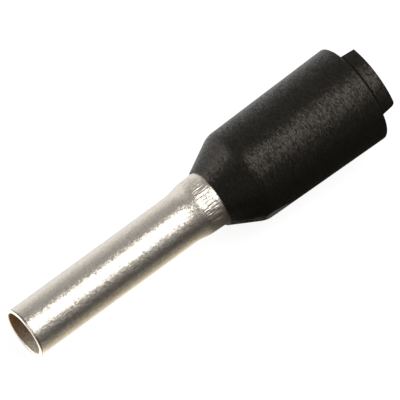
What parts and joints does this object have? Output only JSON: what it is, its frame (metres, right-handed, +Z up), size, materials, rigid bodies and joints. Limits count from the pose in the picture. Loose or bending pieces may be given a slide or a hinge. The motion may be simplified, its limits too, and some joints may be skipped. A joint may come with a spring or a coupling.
{
  "type": "wire ferrule",
  "caption": "Insulated wire-end ferrule: a thin tinned sleeve with a flared neck inside a tapered plastic collar that has a tongue at its rear rim.",
  "frame": {"origin": "middle of the box's bottom face: the point of the table under the middle of the lying ferrule", "axes": "+Z up from the table, +X from the sleeve's mouth towards the end where the wire enters, +Y across; the ferrule's own axis lies in the XZ plane and climbs 4.46 degrees towards +X, because the ferrule rests on the sleeve's lip and on a flat rubbed on the collar's shoulder"},
  "size_m": [0.0161, 0.004, 0.0043],
  "materials": {
    "tinned_copper": "satin",
    "black_plastic": "matte"
  },
  "bodies": {
    "root": {"metal_sleeve": "tinned_copper", "insulating_collar": "black_plastic"}
  },
  "joints": []
}
